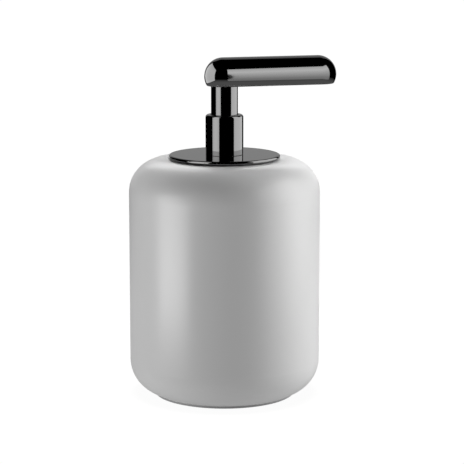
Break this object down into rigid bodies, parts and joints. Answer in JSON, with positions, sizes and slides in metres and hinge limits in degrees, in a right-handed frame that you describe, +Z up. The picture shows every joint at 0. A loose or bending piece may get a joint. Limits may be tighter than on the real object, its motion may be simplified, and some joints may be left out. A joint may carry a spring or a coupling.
{
  "type": "soap pump dispenser",
  "caption": "Round-shouldered glazed bottle on a foot ring, with a lift-out plunger pump: flat cover plate, collar, sliding stem and a swivelling round-bar spout.",
  "frame": {"origin": "centre of the underside of the foot pad, the face it stands on, on the pump's axis", "axes": "+Z up along the pump's axis; +X the way the spout points at rest; +Y to the left of the spout"},
  "size_m": [0.0883, 0.08, 0.1422],
  "materials": {
    "glazed_white": "soft-gloss white glaze",
    "black_chrome": "polished dark chrome plate",
    "steel": "machined stainless steel",
    "white_pom": "moulded acetal, satin",
    "natural_pp": "moulded natural polypropylene, satin",
    "black_pom": "moulded black acetal, satin",
    "grey_silicone": "soft silicone, matt",
    "black_rubber": "nitrile rubber, satin",
    "steel_ball": "polished bearing steel"
  },
  "bodies": {
    "bottle_body": {"bottle": "glazed_white", "foot_pad": "grey_silicone", "neck_liner": "white_pom"},
    "pump_unit": {"cover_plate": "black_chrome", "plate_gasket": "black_rubber", "stopper": "white_pom", "neck_o_ring_lower": "grey_silicone", "neck_o_ring_upper": "grey_silicone", "clamp_washer": "steel", "guide_tube": "white_pom", "collar": "black_chrome", "stem_wiper": "black_rubber", "pump_cylinder": "natural_pp", "cylinder_gasket": "black_rubber", "cylinder_cap": "white_pom", "ball_cage": "white_pom", "dip_tube": "natural_pp", "return_spring": "steel"},
    "plunger": {"valve_rod": "white_pom"},
    "piston": {"piston_seal": "natural_pp"},
    "spout": {"inner_stem": "steel", "stem_sleeve": "black_chrome", "spout_head": "black_chrome", "flow_insert": "natural_pp", "stem_seal": "black_rubber", "spout_cover": "black_pom", "nozzle": "black_pom"},
    "valve_ball": {"inlet_ball": "steel_ball"}
  },
  "joints": [
    {"name": "pump_lift_out", "type": "slide", "parent": "bottle_body", "child": "pump_unit", "axis": [0, 0, 1], "range_m": [0, 0.095]},
    {"name": "press", "type": "slide", "parent": "pump_unit", "child": "plunger", "axis": [0, 0, -1], "range_m": [0, 0.0105], "stiffness_N_per_m": 600, "springref_m": -0.01, "deforming": ["return_spring"]},
    {"name": "head_swivel", "type": "hinge", "parent": "plunger", "child": "spout", "pos_m": [0, 0, 0.12], "axis": [0, 0, 1], "continuous": true},
    {"name": "piston_float", "type": "slide", "parent": "plunger", "child": "piston", "axis": [0, 0, 1], "range_m": [0, 0.0008]},
    {"name": "ball_lift", "type": "slide", "parent": "pump_unit", "child": "valve_ball", "axis": [0, 0, 1], "range_m": [0, 0.0012]}
  ]
}
